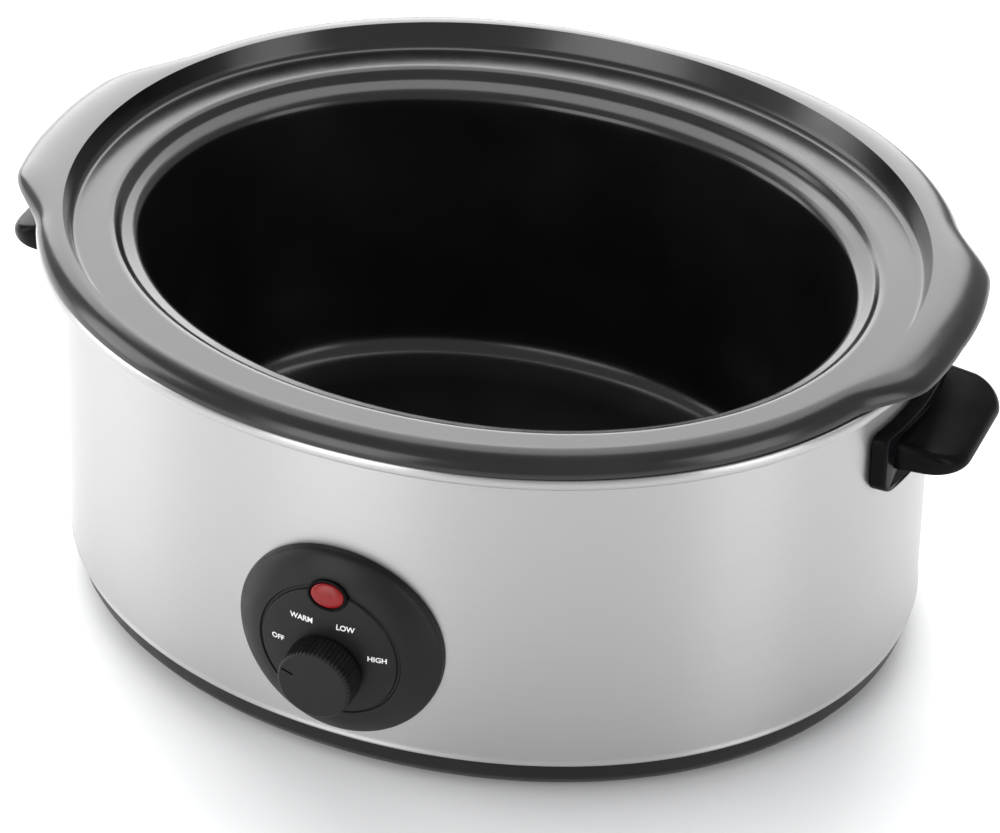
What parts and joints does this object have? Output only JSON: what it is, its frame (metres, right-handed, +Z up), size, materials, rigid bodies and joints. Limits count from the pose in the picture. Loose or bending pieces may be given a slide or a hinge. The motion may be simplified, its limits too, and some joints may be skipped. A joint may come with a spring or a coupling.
{
  "type": "slow cooker",
  "caption": "Oval countertop slow cooker: steel-clad housing with a lift-out glazed stoneware crock, side handles, a rotary heat knob and an indicator lamp.",
  "frame": {"origin": "centre of the bounding box on the floor the feet stand on", "axes": "+X along the oval's length towards the right-hand handle, +Y away from the dial, +Z up"},
  "size_m": [0.389, 0.31, 0.1587],
  "materials": {
    "glaze": "gloss black glaze",
    "steel": "satin",
    "base_plastic": "satin black",
    "handle_plastic": "semi-gloss black",
    "dial_plastic": "satin black",
    "lens": "translucent red",
    "rubber": "matte black",
    "aluminium": "mill finish",
    "mica": "matte mica",
    "zinc": "zinc plated",
    "switch_plastic": "matte ivory",
    "lamp_glass": "clear",
    "wire_brown": "insulated wire",
    "wire_blue": "insulated wire",
    "wire_green": "insulated wire"
  },
  "bodies": {
    "housing": {"outer_wall": "steel", "rim_ring": "steel", "base_tray": "base_plastic", "foot_front_left": "rubber", "foot_front_right": "rubber", "foot_rear_left": "rubber", "foot_rear_right": "rubber", "cord_gland": "rubber", "left_handle": "handle_plastic", "right_handle": "handle_plastic", "left_handle_screw_front": "zinc", "left_handle_screw_rear": "zinc", "right_handle_screw_front": "zinc", "right_handle_screw_rear": "zinc", "control_bezel": "dial_plastic", "bezel_screw_left": "zinc", "bezel_screw_right": "zinc", "indicator_lens": "lens", "switch_body": "switch_plastic", "switch_nut": "zinc", "neon_lamp": "lamp_glass", "liner": "aluminium", "heating_band": "mica", "heater_strap": "steel", "strap_screw": "zinc", "thermal_fuse": "aluminium", "fuse_clip": "steel", "heat_shield": "aluminium", "liner_stud_front_left": "zinc", "liner_stud_front_right": "zinc", "liner_stud_rear_left": "zinc", "liner_stud_rear_right": "zinc", "base_screw_front_left": "zinc", "base_screw_front_right": "zinc", "base_screw_rear_left": "zinc", "base_screw_rear_right": "zinc", "terminal_block": "switch_plastic", "earth_tab": "zinc", "lead_supply": "wire_brown", "lead_switched": "wire_brown", "lead_fused": "wire_brown", "lead_return": "wire_blue", "lead_earth": "wire_green", "lead_lamp": "wire_blue"},
    "crock": {"crock": "glaze"},
    "dial": {"knob": "dial_plastic", "switch_shaft": "zinc"}
  },
  "joints": [
    {"name": "knob_turn", "type": "hinge", "parent": "housing", "child": "dial", "pos_m": [0, -0.1315, 0.0565], "axis": [0, 1, 0], "range_deg": [0, 146]},
    {"name": "crock_lift", "type": "slide", "parent": "housing", "child": "crock", "axis": [0, 0, 1], "range_m": [0, 0.16]}
  ]
}
